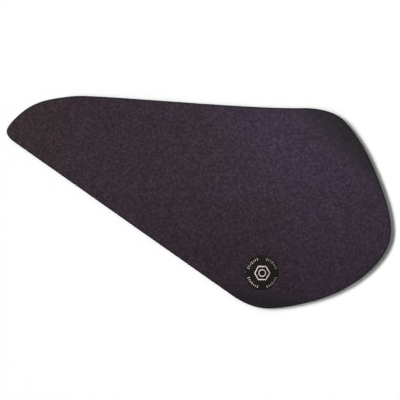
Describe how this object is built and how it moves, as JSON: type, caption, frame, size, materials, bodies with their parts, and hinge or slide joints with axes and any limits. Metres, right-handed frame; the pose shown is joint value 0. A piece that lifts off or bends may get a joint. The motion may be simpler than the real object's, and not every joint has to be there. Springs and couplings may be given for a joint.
{
  "type": "tank grip",
  "caption": "Flat rubber knee grip pad for one side of a motorcycle fuel tank, with a grained face and a round badge let in near its lower edge.",
  "frame": {"origin": "middle of the outline's box, on the flat back", "axes": "+X from the narrow nose to the broad tail, +Y towards the long straight edge, +Z out of the grip face"},
  "size_m": [0.33, 0.1826, 0.0036],
  "materials": {
    "grip_rubber": "matte, fine random grain",
    "badge_resin": "smooth, semi-gloss",
    "badge_print": "flat off-white ink"
  },
  "bodies": {
    "root": {"grip_pad": "grip_rubber", "badge": "badge_resin"}
  },
  "joints": []
}
